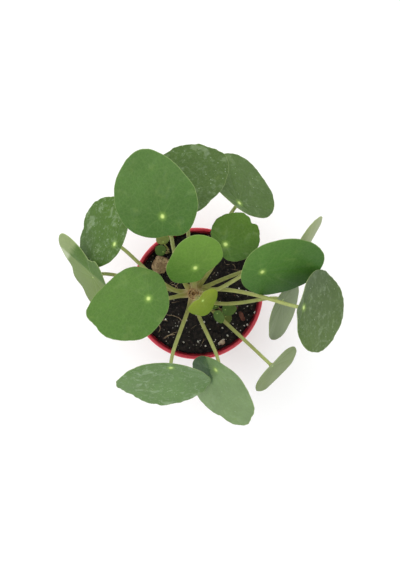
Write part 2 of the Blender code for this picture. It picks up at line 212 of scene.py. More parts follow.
# ======== node graphs
class Graph:
    """A material's node tree, written one call at a time."""

    def __init__(self, name):
        self.material = bpy.data.materials.new(name)
        self.material.use_nodes = True
        self.nodes = self.material.node_tree.nodes
        self.links = self.material.node_tree.links
        self.nodes.clear()
        self.shader = self.nodes.new("ShaderNodeBsdfPrincipled")
        output = self.nodes.new("ShaderNodeOutputMaterial")
        self.links.new(self.shader.outputs[0], output.inputs[0])

    def feed(self, socket, value):
        if isinstance(value, bpy.types.NodeSocket):
            self.links.new(value, socket)
        elif socket.type == "RGBA":
            socket.default_value = (*[float(part) for part in value[:3]], 1.0)
        else:
            socket.default_value = value

    def add(self, kind, outlet, inputs, **settings):
        node = self.nodes.new(kind)
        for key, value in settings.items():
            setattr(node, key, value)
        for key, value in inputs.items():
            self.feed(node.inputs[key], value)
        return node.outputs[outlet]

    def math(self, operation, a, b=0.0, clamp=False):
        return self.add("ShaderNodeMath", 0, {0: a, 1: b}, operation=operation, use_clamp=clamp)

    def times(self, a, b):
        return self.math("MULTIPLY", a, b)

    def plus(self, a, b):
        return self.math("ADD", a, b)

    def mix(self, share, a, b, blend="MIX"):
        return self.add("ShaderNodeMix", 2, {0: share, 6: a, 7: b}, data_type="RGBA", blend_type=blend)

    def dim(self, color, factor):
        return self.add("ShaderNodeVectorMath", 0, {0: color, "Scale": factor}, operation="SCALE")

    def noise(self, where, scale, detail=3.0, rough=0.55, warp=0.0):
        inputs = {"Vector": where, "Scale": scale, "Detail": detail, "Roughness": rough, "Distortion": warp}
        return self.add("ShaderNodeTexNoise", 0, inputs)

    def cells(self, where, scale, outlet=0, feature="F1"):
        return self.add("ShaderNodeTexVoronoi", outlet, {"Vector": where, "Scale": scale}, feature=feature)

    def span(self, value, low, high, to_low=0.0, to_high=1.0):
        """Smooth step from low to high."""
        inputs = {0: value, 1: low, 2: high, 3: to_low, 4: to_high}
        return self.add("ShaderNodeMapRange", 0, inputs, interpolation_type="SMOOTHSTEP")

    def fade(self, value, low, high):
        return self.span(value, low, high, 1.0, 0.0)

    def read(self, name, outlet):
        return self.add("ShaderNodeAttribute", outlet, {}, attribute_name=name)

    def place(self):
        return self.add("ShaderNodeTexCoord", "Object", {})

    def stretch(self, where, x, y, z):
        return self.add("ShaderNodeVectorMath", 0, {0: where, 1: (x, y, z)}, operation="MULTIPLY")

    def split(self, vector):
        node = self.nodes.new("ShaderNodeSeparateXYZ")
        self.feed(node.inputs[0], vector)
        return node.outputs[0], node.outputs[1], node.outputs[2]

    def bump(self, height, distance, strength=1.0, under=None):
        inputs = {"Strength": strength, "Distance": distance, "Height": height}
        if under is not None:
            inputs["Normal"] = under
        return self.add("ShaderNodeBump", 0, inputs)

    def finish(self, color, rough, normal=None, **constants):
        self.feed(self.shader.inputs["Base Color"], color)
        self.feed(self.shader.inputs["Roughness"], rough)
        if normal is not None:
            self.feed(self.shader.inputs["Normal"], normal)
        for key, value in constants.items():
            self.feed(self.shader.inputs[key.replace("_", " ")], value)
        return self.material


# ======== materials
def blade_veins(g):
    """Distance from the stalk in millimetres, share of the way out, and the radiating veins' lines."""
    ahead, aside, share = g.split(g.read("blade", "Vector"))
    radius = g.math("SQRT", g.plus(g.times(ahead, ahead), g.times(aside, aside)))
    warp = g.times(g.plus(g.noise(g.place(), 60.0, 2.0), -0.5), 0.55)
    angle = g.plus(g.math("ARCTAN2", aside, ahead), warp)

    def lines(count, thin, wide):
        gap = g.math("ABSOLUTE", g.math("SINE", g.times(angle, count / 2)))
        away = g.times(g.times(gap, radius), 2 / count)
        return g.fade(away, thin, wide)

    main = g.times(lines(7, 0.10, 0.70), g.span(radius, 3.0, 30.0, 1.0, 0.35))
    side = g.times(lines(19, 0.05, 0.5), g.span(radius, 8.0, 14.0, 0.0, 0.4))
    return radius, share, g.math("MAXIMUM", main, side)


def veinlets(g, where, wide):
    return g.fade(g.cells(where, 330.0, feature="DISTANCE_TO_EDGE"), 0.0, wide)


def leaf_top():
    g = Graph("leaf_top")
    where = g.place()
    radius, share, veins = blade_veins(g)
    tone, dust = g.read("tone", "Color"), g.read("dust", "Fac")
    broad = g.noise(where, 42.0)
    fine = g.noise(where, 420.0, 4.0, 0.62)
    color = g.dim(tone, g.span(broad, 0.3, 0.7, 0.93, 1.07))
    color = g.dim(color, g.span(fine, 0.25, 0.75, 0.93, 1.07))
    color = g.mix(g.span(g.noise(where, 95.0), 0.55, 0.78, 0.0, 0.18), color, tint(120, 142, 66))
    network = veinlets(g, where, 0.16)
    color = g.mix(g.times(network, 0.04), color, tint(160, 178, 110))
    color = g.mix(g.times(veins, 0.055), color, tint(150, 176, 100))
    color = g.mix(g.span(radius, 1.2, 5.0, 0.34, 0.0), color, tint(150, 186, 84))
    spot = g.plus(radius, g.times(g.plus(g.noise(where, 620.0, 2.0), -0.5), 0.9))
    color = g.mix(g.span(spot, 0.6, 2.3, 0.82, 0.0), color, tint(206, 228, 134))
    color = g.mix(g.span(share, 0.982, 0.998, 0.0, 0.34), color, tint(166, 184, 118))
    grains = g.cells(where, 520.0, 1)
    chosen = g.math("GREATER_THAN", g.split(grains)[0], g.span(dust, 0.0, 1.0, 1.02, 0.84))
    speck = g.times(chosen, g.fade(g.cells(where, 520.0), 0.12, 0.34))
    patch = g.span(g.noise(where, 95.0, 5.0, 0.6, 0.5), 0.56, 0.64)
    stain = g.span(g.noise(where, 260.0, 4.0, 0.7), 0.50, 0.66)
    film = g.times(g.plus(g.times(patch, 0.34), g.times(stain, 0.26)), dust)
    white = g.math("MAXIMUM", g.times(speck, 0.7), film)
    color = g.mix(g.times(white, 0.66), color, tint(176, 194, 166))
    rough = g.plus(g.span(fine, 0.2, 0.8, 0.40, 0.52), g.times(white, 0.25))
    relief = g.plus(g.times(fine, 0.35), g.times(veins, -0.8))
    relief = g.plus(relief, g.times(network, -0.22))
    relief = g.plus(relief, g.times(speck, 0.5))
    return g.finish(color, rough, g.bump(relief, 0.14 * MM, 0.6), Specular_IOR_Level=0.18)


def leaf_under():
    g = Graph("leaf_under")
    where = g.place()
    _, share, veins = blade_veins(g)
    fine = g.noise(where, 380.0, 4.0, 0.6)
    pale = g.mix(0.55, g.read("tone", "Color"), tint(148, 166, 118))
    color = g.dim(pale, g.span(g.noise(where, 70.0), 0.3, 0.7, 0.90, 1.08))
    network = veinlets(g, where, 0.18)
    color = g.mix(g.times(network, 0.14), color, tint(176, 190, 140))
    color = g.mix(g.times(veins, 0.5), color, tint(186, 198, 146))
    color = g.mix(g.span(share, 0.982, 0.998, 0.0, 0.34), color, tint(182, 192, 138))
    relief = g.plus(g.times(veins, 0.9), g.plus(g.times(fine, 0.3), g.times(network, 0.25)))
    rough = g.span(fine, 0.2, 0.8, 0.50, 0.64)
    return g.finish(color, rough, g.bump(relief, 0.22 * MM, 0.8), Specular_IOR_Level=0.4)


def stalk_skin():
    g = Graph("stalk_skin")
    where = g.place()
    along, aside, _ = g.split(g.read("blade", "Vector"))
    drawn_out = {0: g.times(along, 0.12), 1: g.times(aside, 1.1)}
    streak = g.noise(g.add("ShaderNodeCombineXYZ", 0, drawn_out), 5.0, 3.0)
    color = g.dim(g.read("tone", "Color"), g.span(streak, 0.3, 0.7, 0.86, 1.12))
    color = g.dim(color, g.span(g.noise(where, 160.0), 0.3, 0.7, 0.90, 1.10))
    dots = g.fade(g.cells(where, 640.0), 0.10, 0.24)
    rare = g.math("GREATER_THAN", g.split(g.cells(where, 640.0, 1))[1], 0.72)
    color = g.mix(g.times(g.times(dots, rare), 0.45), color, tint(120, 98, 58))
    relief = g.plus(g.times(streak, 0.7), g.times(g.noise(where, 900.0, 2.0), 0.3))
    rough = g.span(streak, 0.2, 0.8, 0.40, 0.54)
    return g.finish(color, rough, g.bump(relief, 0.16 * MM, 0.7), Specular_IOR_Level=0.4)


def pot_plastic():
    """Crimson plastic, scuffed, with soil marks on the inner wall only; a painted highlight makes the lip
    palest at its outer edge, and painted shade darkens the plastic from just below the top down.
    """
    g = Graph("pot_plastic_fine")
    where = g.place()
    east, north, height = g.split(where)
    from_axis = g.math("SQRT", g.plus(g.times(east, east), g.times(north, north)))
    cloud = g.noise(where, 55.0, 4.0, 0.6)
    grain = g.noise(where, 1500.0, 2.0)
    color = g.mix(g.span(cloud, 0.35, 0.65), tint(190, 40, 58), tint(206, 54, 74))
    # Painted highlight: the lip's outer edge is mixed to pale pink.
    color = g.mix(g.span(from_axis, POT_RIM - 0.0016, POT_RIM - 0.0002), color, tint(236, 96, 112))
    scuff = g.noise(g.stretch(where, 1.0, 1.0, 9.0), 260.0, 5.0, 0.7)
    worn = g.span(scuff, 0.60, 0.74, 0.0, 0.35)
    color = g.mix(worn, color, tint(228, 140, 148))
    dirt = g.span(g.noise(where, 190.0, 5.0, 0.7), 0.42, 0.60)
    soiled = g.times(g.fade(height, POT_TOP - 0.0050, POT_TOP - 0.0006), dirt)
    across_wall = g.plus(from_axis, g.times(height, -WALL_SLOPE))
    middle = BASE_RADIUS + COLLAR_STEP - POT_WALL / 2
    soiled = g.times(soiled, g.fade(across_wall, middle - 0.0002, middle + 0.0002))
    soiled = g.times(soiled, g.math("GREATER_THAN", height, COLLAR_FOOT + 0.0004))
    color = g.mix(g.times(soiled, 0.80), color, tint(58, 32, 32))
    # Painted shade: from 2 mm below the top the colour darkens, down to 0.55 from 5 mm below, on every wall.
    color = g.dim(color, g.span(height, POT_TOP - 0.0050, POT_TOP - 0.0020, 0.55, 1.0))
    rough = g.plus(g.span(cloud, 0.3, 0.7, 0.30, 0.42), g.times(worn, 0.4))
    relief = g.plus(g.times(grain, 0.5), g.times(scuff, 0.6))
    return g.finish(color, rough, g.bump(relief, 0.05 * MM, 0.6))


def peat_skin(name, light=1.0):
    g = Graph(name)
    where = g.place()
    lump = g.noise(where, 330.0, 5.0, 0.68)
    fine = g.noise(where, 1600.0, 4.0, 0.7)
    color = g.mix(g.span(lump, 0.42, 0.66), tint(14, 12, 13, light), tint(52, 45, 42, light))
    color = g.mix(g.span(fine, 0.58, 0.76, 0.0, 0.50), color, tint(96, 80, 68, light))
    grit = g.math("GREATER_THAN", g.split(g.cells(where, 700.0, 1))[2], 0.94)
    grit = g.times(grit, g.fade(g.cells(where, 700.0), 0.20, 0.38))
    color = g.mix(g.times(grit, 0.8), color, tint(178, 174, 166))
    rough = g.span(lump, 0.3, 0.7, 0.72, 0.96)
    relief = g.plus(lump, g.times(fine, 0.7))
    return g.finish(color, rough, g.bump(relief, 0.5 * MM, 0.9), Specular_IOR_Level=0.3)


def grain_skin(name, dark, pale, pores, scale=900.0, rough=0.85):
    """Perlite, pumice and stone: a mottled body with pits darkened by painted shade."""
    g = Graph(name)
    where = g.place()
    body = g.noise(where, scale * 0.3, 4.0, 0.65)
    pit = g.fade(g.cells(where, scale), 0.10, 0.30)
    color = g.mix(g.span(body, 0.35, 0.68), tint(*dark), tint(*pale))
    # Painted shade: the pits are darkened, as shade falls in them.
    color = g.mix(g.times(pit, pores), color, tint(*dark, 0.35))
    relief = g.plus(body, g.times(pit, -pores))
    uneven = g.span(body, 0.3, 0.7, rough - 0.08, rough + 0.08)
    return g.finish(color, uneven, g.bump(relief, 0.35 * MM, 0.9))


def woody_skin(name, dark, pale, scale, along=(1.0, 1.0, 0.18), rough=0.8):
    """Bark, stem and fibres: drawn-out grain with flecks."""
    g = Graph(name)
    where = g.place()
    drawn = g.noise(g.stretch(where, *along), scale, 5.0, 0.68)
    fleck = g.noise(where, scale * 2.4, 3.0, 0.6)
    color = g.mix(g.span(drawn, 0.34, 0.68), tint(*dark), tint(*pale))
    color = g.dim(color, g.span(fleck, 0.3, 0.75, 0.72, 1.18))
    relief = g.plus(drawn, g.times(fleck, 0.5))
    uneven = g.span(fleck, 0.3, 0.7, rough - 0.1, rough + 0.1)
    return g.finish(color, uneven, g.bump(relief, 0.3 * MM, 0.9))


def floor_skin():
    g = Graph("floor_paper")
    soft = g.noise(g.place(), 6.0, 3.0)
    fine = g.noise(g.place(), 700.0, 3.0)
    color = g.mix(g.span(soft, 0.3, 0.7), (0.955, 0.970, 0.968), (0.970, 0.985, 0.983))
    return g.finish(color, g.span(fine, 0.2, 0.8, 0.82, 0.92), g.bump(fine, 0.03 * MM, 0.3))


# ======== meshes
def grid_faces(rows, columns, start=0, closed=True):
    r = np.arange(rows - 1)[:, None] * columns
    c = np.arange(columns if closed else columns - 1)[None, :]
    a, b = start + r + c, start + r + (c + 1) % columns
    return np.stack([a, b, b + columns, a + columns], -1).reshape(-1, 4).tolist()


def fan(ring_start, count, pole):
    return [(ring_start + i, ring_start + (i + 1) % count, pole) for i in range(count)]


def closed_faces(rows, columns):
    """Rings joined to each other, and at both ends to a pole: the two points after the rings."""
    count = rows * columns
    return grid_faces(rows, columns) + fan(0, columns, count) + fan(count - columns, columns, count + 1)


@contextmanager
def editing(mesh):
    skin = bmesh.new()
    skin.from_mesh(mesh)
    yield skin
    skin.to_mesh(mesh)
    skin.free()


PAINTED_KINDS = {
    "blade": ("FLOAT_VECTOR", "vector"), "tone": ("FLOAT_COLOR", "color"), "dust": ("FLOAT", "value"),
}


class Shape:
    """Points, faces, material slots and painted values, gathered part by part."""

    def __init__(self):
        self.points, self.faces, self.slots, self.painted = [], [], [], {}
        self.count = 0

    def add(self, points, faces, slot=0, **painted):
        points = np.asarray(points, float).reshape(-1, 3)
        self.faces += [tuple(v + self.count for v in face) for face in faces]
        self.slots += [slot] * len(faces) if isinstance(slot, int) else list(slot)
        self.points.append(points)
        self.count += len(points)
        for key, value in painted.items():
            self.painted.setdefault(key, []).append(np.asarray(value, float))
        return self

    def build(self, name, materials, slot_name, nodes=()):
        mesh = bpy.data.meshes.new(name)
        mesh.from_pydata(np.concatenate(self.points).tolist(), [], self.faces)
        mesh.polygons.foreach_set("material_index", self.slots)
        mesh.polygons.foreach_set("use_smooth", [True] * len(self.faces))
        for key, (kind, field) in PAINTED_KINDS.items():
            if key in self.painted:
                values = np.concatenate(self.painted[key])
                if key == "tone":
                    values = np.pad(values, ((0, 0), (0, 1)), constant_values=1.0)
                mesh.attributes.new(key, kind, "POINT").data.foreach_set(field, values.ravel())
        with editing(mesh) as skin:
            bmesh.ops.recalc_face_normals(skin, faces=skin.faces)
        thing = bpy.data.objects.new(name, mesh)
        bpy.context.scene.collection.objects.link(thing)
        for made_of in materials:
            mesh.materials.append(made_of)
        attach(thing, ROOT)
        if nodes:
            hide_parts(*nodes)
        return thing


def around(count):
    return np.arange(count) * tau / count


def smooth(share):
    return share * share * (3 - 2 * share)


def polar(radius, turn):
    return radius * cos(turn), radius * sin(turn)


def unit(vector):
    return vector / np.linalg.norm(vector, axis=-1, keepdims=True)


def sweep(path, radii, sides, ribs=0.0, flat=1.0):
    """Tube over a path: rings that don't twist, and a cap at each end."""
    path = np.asarray(path, float)
    ways = unit(np.gradient(path, axis=0))
    across = unit(np.cross(ways[0], (0.31, 0.17, 0.93)))
    turns = around(sides)
    rows = []
    for middle, way, radius in zip(path, ways, radii):
        across = unit(across - way * (across @ way))
        up = np.cross(way, across)
        reach = radius * (1 + ribs * np.sin(5 * turns))
        ring = np.outer(np.cos(turns) * reach, across) + np.outer(np.sin(turns) * reach * flat, up)
        rows.append(middle + ring)
    first_cap = path[:1] - ways[:1] * radii[0] * 0.3
    last_cap = path[-1:] + ways[-1:] * radii[-1] * 0.3
    points = np.concatenate(rows + [first_cap, last_cap])
    return points, closed_faces(len(path), sides)


def lathe(profile, sides):
    """Closed turned solid; the profile starts and ends on the axis."""
    turns = around(sides)
    inner = profile[1:-1]
    rows = [np.stack([r * np.cos(turns), r * np.sin(turns), np.full(sides, z)], 1) for r, z in inner]
    poles = [(0, 0, profile[0][1]), (0, 0, profile[-1][1])]
    return np.concatenate(rows + [np.array(poles)]), closed_faces(len(inner), sides)


def rounded(profile, reach, steps=4):
    """The same line with each inner corner rounded off."""
    out = [profile[0]]
    spots = [np.array(spot, float) for spot in profile]
    for before, corner, after in zip(spots, spots[1:], spots[2:]):
        start, end = (corner + unit(side - corner) * min(reach, 0.45 * np.linalg.norm(side - corner))
                      for side in (before, after))
        for i in range(steps + 1):
            t = i / steps
            out.append(tuple(start * (1 - t) ** 2 + corner * 2 * t * (1 - t) + end * t * t))
    return out + [profile[-1]]


# ======== leaves
def welded(mesh):
    """The mesh's points with doubles joined, and each one's neighbours."""
    corners = np.array([v.co for v in mesh.vertices])
    points, index = np.unique(np.round(corners, 6), axis=0, return_inverse=True)
    index = index.reshape(-1)
    joined = [set() for _ in points]
    for face in mesh.polygons:
        ring = [int(index[v]) for v in face.vertices]
        for a, b in zip(ring, ring[1:] + ring[:1]):
            joined[a].add(b)
            joined[b].add(a)
    return points, joined


class CadLeaf:
    """A CAD leaf read back as rings: from the stalk's point on the upper side out to the margin,
    in over the underside, and down the stalk to its foot."""

    def __init__(self, node):
        points, joined = welded(frame["nodes"][node].data)
        pole = max(range(len(points)), key=lambda i: len(joined[i]))
        rings, seen = [[pole]], {pole}
        while True:
            near = sorted({j for i in rings[-1] for j in joined[i]} - seen)
            if not near:
                break
            rings.append(near)
            seen |= set(near)
        rings = [points[ring] for ring in rings]
        self.pole = rings[0][0]
        self.up = unit(self.pole - rings[7].mean(0))
        margin = rings[3] - self.pole
        tip = margin[np.argmax(np.linalg.norm(margin, axis=1))]
        self.ahead = unit(tip - self.up * (tip @ self.up))
        self.aside = np.cross(self.up, self.ahead)
        self.rings = [self.ordered(ring) for ring in rings[1:4]]
        self.path = np.array([ring.mean(0) for ring in rings[:6:-1]])
        self.thick = [np.linalg.norm(ring - ring.mean(0), axis=1).mean() for ring in (rings[-1], rings[7])]
        self.size = np.linalg.norm(margin, axis=1).mean()

    def ordered(self, ring):
        away = ring - self.pole
        turn = np.arctan2(away @ self.aside, away @ self.ahead) + pi / len(ring)
        return ring[np.argsort(turn % tau)]

    def round_trip(self, turns):
        """The three rings and the pole, read at any turn: 4 x turns x 3."""
        out = [np.repeat(self.pole[None], len(turns), 0)]
        for ring in self.rings:
            count = len(ring)
            waves = np.fft.fft(ring, axis=0) / count
            basis = np.exp(1j * np.outer(turns, np.fft.fftfreq(count, 1 / count)))
            out.append((basis @ waves).real)
        return np.array(out)


def through_rings(share, rings):
    """Cubic through the pole and the rings, at each share: rows x turns x 3."""
    out = 0
    for i, here in enumerate(RING_SHARES):
        weight = np.ones_like(share)
        for j, other in enumerate(RING_SHARES):
            if i != j:
                weight = weight * (share - other) / (here - other)
        out = out + weight[..., None] * rings[i][None]
    return out


def blade_rows(size):
    """Rows of the blade's skin: share of the way out, and depth as a share of the thickness."""
    edge = 1 - 0.30 * MM / size
    top = [0.02, 0.045, 0.08, 0.12, 0.17, 0.23, 0.30, 0.38, 0.46]
    top += [0.54, 0.62, 0.70, 0.77, 0.83, 0.88, 0.92, 0.955, 0.98]
    rows = [(share * edge, 0.0) for share in top] + [(edge, 0.0)]
    for turn in (30, 60, 90, 120, 150):
        turn = radians(turn)
        rows.append((edge + (1 - edge) * sin(turn), 0.5 * (1 - cos(turn))))
    under = [1.0, 0.97, 0.93, 0.87, 0.79, 0.70, 0.60, 0.50, 0.40, 0.30, 0.21, 0.13, 0.07, 0.03]
    return rows + [(share * edge, 1.0) for share in under], len(top) + 1


def folded(skin, tone, facing, fold):
    """Bend the blade down past a line across it, in place, and give back its tone repainted with the fold's
    painted shade, painted shadow and painted sheen.
    """
    start = np.array(fold.start) * MM
    way = unit(np.array(fold.end) * MM - start)
    past = (skin[..., :2] - start) @ np.array([-way[1], way[0]])
    along = (skin[..., :2] - start) @ way
    bend = np.sqrt(np.maximum(past, 0) ** 2 + (0.5 * MM) ** 2) - 0.5 * MM
    held = 1.0 if fold.tip_before else smooth(np.clip(along / (7 * MM) + 0.2, 0, 1))
    skin -= facing * (fold.slope * bend * (past > 0) * held)[..., None]
    over = (np.clip(past / (0.9 * MM) + 0.5, 0, 1) * held).reshape(-1, 1)
    # Painted shade past the line: on leaf_16 a painted shadow of leaf_15.
    tone = tone * (1 - over) + tint(*fold.past) * over
    if not fold.tip_before:
        return tone
    # Painted sheen: the pale tip.
    tip = tint(*fold.tip_before) * (1 - over) + tint(*fold.tip_past) * over
    ends = np.clip(-along / (2.5 * MM), 0, 1).reshape(-1, 1)
    return tone * (1 - ends) + tip * ends


def margin_growth(node, rings, turns, scallop, draw):
    """How far the margin stands out or in at each turn, as a share of the radius."""
    margin = rings[3] - rings[0]
    compass = np.degrees(np.arctan2(margin[:, 1], margin[:, 0]))
    grow = np.zeros(len(turns))
    for toward, wide, growth in NICKS.get(node, ()):
        off = (compass - toward + 180) % 360 - 180
        grow += growth * np.exp(-(off / wide) ** 2)
    for waves, size in SCALLOPS:
        grow += scallop * size * draw.uniform(0.5, 1.0) * np.sin(waves * turns + draw.uniform(0, tau))
    return grow


def facing_of(surface, up, top_rows, rows):
    """Outward directions of the blade's upper side; the underside takes its twin row's."""
    out_way = np.gradient(surface, axis=0)
    out_way[top_rows:] = out_way[top_rows - 2]
    round_way = np.roll(surface, -1, 1) - np.roll(surface, 1, 1)
    facing = unit(np.cross(out_way, round_way))
    facing *= np.sign(facing @ up)[..., None]
    facing[top_rows - 1:top_rows + 6] = facing[top_rows - 2]
    for row in range(top_rows + 5, len(rows)):
        twin = int(np.argmin([abs(rows[k][0] - rows[row][0]) for k in range(top_rows)]))
        facing[row] = facing[twin]
    return facing


def blade_relief(share, turns, size, draw):
    """Height of the blade's ripples, vein grooves and stalk dimple, and the dimple's depth."""
    big = size / GROWN_SIZE
    away = share * size / MM
    ripple = 0
    for waves, height in RIPPLES:
        phase = draw.uniform(0, tau) + draw.uniform(-1.2, 1.2) * share
        ripple = ripple + height * draw.uniform(0.5, 1.0) * share ** 2 * np.sin(waves * turns[None] + phase)
    groove = np.abs(np.sin(3.5 * turns))[None] * away / 3.5
    quilt = -0.22 * np.exp(-(groove / 1.3) ** 2) * np.clip(away / 6, 0, 1) * (1 - 0.7 * share)
    dimple = -0.16 * np.exp(-(away / 2.6) ** 2) + 0.10 * np.exp(-((away - 5) / 3) ** 2)
    return (ripple * big + (quilt + dimple) * min(1.0, big)) * MM, dimple.min() * MM


def blade_tone(look, flat, size):
    """The upper side's colour at each point, from near to far, with the painted shade and painted sheen that
    the near and far colours hold.
    """
    near, far, toward = tint(*look.near), tint(*look.far), radians(look.toward)
    side = (flat[:, :2] @ np.array([cos(toward), sin(toward)])) / size
    blend = smooth(np.clip(side * 0.5 + 0.5, 0, 1))[:, None]
    return near * (1 - blend) + far * blend


def leaf_piece(node, look, materials, seed, young=False):
    cad = CadLeaf(node)
    draw = Random(seed)
    turns = around(SECTORS)
    rings = cad.round_trip(turns)
    rows, top_rows = blade_rows(cad.size)
    row_shares = np.array([row[0] for row in rows])
    depth = np.array([row[1] for row in rows])[:, None]
    share = np.repeat(row_shares[:, None], SECTORS, 1)
    share = share * (1 + margin_growth(node, rings, turns, look.scallop, draw)[None] * share ** 2)

    surface = through_rings(share, rings)
    facing = facing_of(surface, cad.up, top_rows, rows)
    relief, dimple = blade_relief(share, turns, cad.size, draw)
    thick = (BLADE_THICK + (MARGIN_THICK - BLADE_THICK) * share ** 2) * (YOUNG_THICKNESS if young else 1.0)
    skin = surface + facing * (relief - thick * depth)[..., None]

    flat = skin.reshape(-1, 3) - cad.pole
    blade = np.stack([flat @ cad.ahead / MM, flat @ cad.aside / MM, np.repeat(row_shares, SECTORS)], 1)
    blade[:, :2] *= SMALLER_SPOT.get(node, YOUNG_SPOT if young else 1.0)
    tone = blade_tone(look, flat, cad.size)
    if node in FOLDS:
        tone = folded(skin, tone, facing, FOLDS[node])
    poles = np.array([cad.pole + cad.up * dimple, cad.pole - cad.up * BLADE_THICK])
    count = len(skin) * SECTORS
    slots = [0 if row < top_rows + 2 else 1 for row in range(len(rows) - 1) for _ in range(SECTORS)]
    slots += [0] * SECTORS + [1] * SECTORS
    shape = Shape()
    shape.add(
        np.concatenate([skin.reshape(-1, 3), poles]), closed_faces(len(rows), SECTORS), slots,
        blade=np.concatenate([blade, [[0, 0, 0], [0, 0, 0]]]),
        tone=np.concatenate([tone, [tint(*look.near)] * 2]), dust=np.full(count + 2, look.dust),
    )
    add_stalk(shape, cad, young, draw)
    return shape.build(node.replace("leaf", "blade_and_stalk"), materials,
                       "young_green" if young else "leaf_green", [node])


def add_stalk(shape, cad, young, draw):
    """The stalk, smoothed from the CAD leaf's rings, wider at its foot and where it meets the blade."""
    steps, sides = (22, 10) if young else (46, 16)
    t = np.linspace(0, 1, len(cad.path))
    curve = np.polyfit(t, cad.path, 3)
    length = np.linalg.norm(np.diff(cad.path, axis=0), axis=1).sum()
    fine = np.concatenate([[-0.55 * MM / length], np.linspace(0, 1, steps)])
    path = sum(curve[k][None] * fine[:, None] ** (3 - k) for k in range(4))
    bow = np.sin(pi * np.clip(fine, 0, 1)) * np.sin(7 * fine + draw.uniform(0, tau)) * 0.0016 * length
    path += bow[:, None] * unit(np.cross(path[-1] - path[0], (0, 0, 1)))
    path = np.concatenate([path, [cad.pole - cad.up * (0.9 if young else 1.25) * MM]])
    left = np.append((1 - np.clip(fine, 0, 1)) * length, 0)
    fine = np.append(fine, 1.0)
    gone = np.clip(fine, 0, 1) * length
    foot, tip = cad.thick
    radii = (foot + (tip - foot) * np.clip(fine, 0, 1)) * (1.0 if young else STALK_FULLER)
    flare = 0.62 * np.exp(-(gone / (4.84 * foot)) ** 2) + 0.5 * np.exp(-(left / (0.9 * tip)) ** 2)
    points, faces = sweep(path, radii * (1 + flare), sides, 0.018, 0.94)
    along = np.concatenate([np.repeat(fine, sides), fine[[0, -1]]])
    side = np.concatenate([np.tile(np.cos(around(sides)), len(fine)), [0, 0]])
    near = np.clip(along * length / ((3 if young else 9) * MM), 0, 1)[:, None]
    tone = tint(*STALK_FOOT) * (1 - near) + tint(*STALK_MID) * near
    tone = tone + (tint(*STALK_END) - tint(*STALK_MID)) * (np.clip(along, 0, 1) ** 2)[:, None]
    if young:
        tone = tone * 0.8
    place = np.stack([along * length / MM, side * 3, along * 0], 1)
    shape.add(points, faces, 2, blade=place, tone=tone, dust=np.zeros(len(points)))


def leaves():
    materials = [leaf_top(), leaf_under(), stalk_skin()]
    for number, look in LOOKS.items():
        leaf_piece(f"leaf_{number:02d}", look, materials, 100 + number)
    young = sorted(n for n in frame["nodes"] if n.startswith("plantlet") and "leaf" in n)
    for order, node in enumerate(young):
        leaf_piece(node, YOUNG_LOOKS.get(node, YOUNG_LOOK), materials, 300 + order, True)


# ======== pot
def body(z):
    """Outer radius of the pot's wall below the collar, at a height."""
    return BASE_RADIUS + WALL_SLOPE * z


def bore(z, step=0.0):
    return body(z) + step - POT_WALL


def pot_profile():
    """Half of the pot's section: underside, outer wall, collar with its bead, lip, inner wall."""
    collar, lip, top, rim = COLLAR_FOOT, LIP_FOOT, POT_TOP, POT_RIM
    stepped, bead = body(collar) + COLLAR_STEP, 0.0001
    return [
        (0, FOOT_RECESS), (body(0) - 0.0030, FOOT_RECESS), (body(0) - FOOT_RING, 0), (body(0) - 0.0008, 0),
        (body(0.001), 0.001), (body(collar), collar), (stepped, collar + 0.0006),
        (stepped + bead, collar + 0.0030), (stepped - 1.8 * bead, collar + 0.0034),
        (stepped + bead, collar + 0.0038), (rim - LIP_WIDTH + POT_WALL, lip), (rim - 0.0003, lip),
        (rim, lip + 0.0004), (rim, top - 0.0007), (rim - 0.0007, top), (rim - LIP_WIDTH + 0.0005, top),
        (rim - LIP_WIDTH, top - 0.0005), (bore(collar + 2 * POT_WALL, COLLAR_STEP), collar + 2 * POT_WALL),
        (bore(collar), collar + POT_WALL), (bore(FLOOR), FLOOR), (0, FLOOR),
    ]


def pot():
    points, faces = lathe(rounded(pot_profile(), 0.0009), 168)
    thing = Shape().add(points, faces).build("pot_moulding", [pot_plastic()], "pot_plastic", ["pot"])
    cutter = Shape()
    for hole in range(DRAIN_HOLES):
        turn = tau * (hole + 0.5) / DRAIN_HOLES
        tube = [(0, -0.01), (DRAIN_RADIUS, -0.01), (DRAIN_RADIUS, 0.01), (0, 0.01)]
        spots, skin = lathe(tube, 32)
        cutter.add(spots + np.array([*polar(DRAIN_CIRCLE, turn), 0]), skin)
    tool = cutter.build("drain_tool", [], "pot_plastic")
    modifier = thing.modifiers.new("drain", "BOOLEAN")
    modifier.operation, modifier.solver, modifier.object = "DIFFERENCE", "EXACT", tool
    depsgraph = bpy.context.evaluated_depsgraph_get()
    mesh = bpy.data.meshes.new_from_object(thing.evaluated_get(depsgraph))
    thing.modifiers.clear()
    thing.data = mesh
    bpy.data.objects.remove(tool)
    for face in mesh.polygons:
        face.use_smooth = True
    sharpen(thing, 32)


def sharpen(thing, angle):
    """Mark edges bent more than the angle, in degrees, as sharp."""
    with editing(thing.data) as skin:
        for edge in skin.edges:
            edge.smooth = len(edge.link_faces) != 2 or edge.calc_face_angle(0) < radians(angle)


# ======== soil
def tree_of(mesh):
    return BVHTree.FromPolygons([v.co for v in mesh.vertices], [list(p.vertices) for p in mesh.polygons])


def surface_of(node):
    """A function that gives the height of a CAD node's upper side at x, y."""
    tree = tree_of(frame["nodes"][node].data)
    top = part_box(node)[1].z

    def height(x, y):
        spot = tree.ray_cast(Vector((x, y, top + 0.01)), Vector((0, 0, -1)))[0]
        return spot.z if spot is not None and spot.z > top - 0.004 else top - 0.0011
    return height


